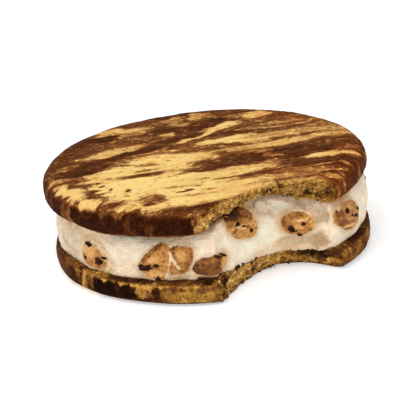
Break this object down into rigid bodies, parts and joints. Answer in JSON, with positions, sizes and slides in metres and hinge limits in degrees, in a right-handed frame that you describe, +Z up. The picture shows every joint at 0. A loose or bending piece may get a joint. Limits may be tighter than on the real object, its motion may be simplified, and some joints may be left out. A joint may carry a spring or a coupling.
{
  "type": "ice cream sandwich",
  "caption": "Round ice cream sandwich: marbled chocolate and butter cookies, vanilla ice cream with cookie dough lumps, and one bite out of the rim.",
  "frame": {"origin": "centre of the sandwich's outline, on the flat underside of the lower cookie that it rests on", "axes": "+Z up through the layers, +Y away from the bitten side, +X to the right when the bite faces the viewer"},
  "size_m": [0.0858, 0.0859, 0.0255],
  "materials": {
    "cookie": "baked cookie: marbled dark brown chocolate and yellow butter dough, matt, with a golden open crumb where bitten",
    "ice_cream": "frozen vanilla ice cream, creamy white, softly frosted with a slight wet sheen",
    "dough": "raw cookie dough, golden tan, slightly greasy, with near-black chocolate chips"
  },
  "bodies": {
    "root": {"top_cookie": "cookie", "ice_cream": "ice_cream", "base_cookie": "cookie", "dough_left": "dough", "dough_front": "dough", "dough_front_split": "dough", "dough_oval": "dough", "dough_right": "dough", "dough_bite_left": "dough", "dough_bite_right": "dough", "dough_right_back": "dough", "dough_back_right": "dough", "dough_back": "dough", "dough_back_left": "dough", "dough_left_back": "dough"}
  },
  "joints": []
}
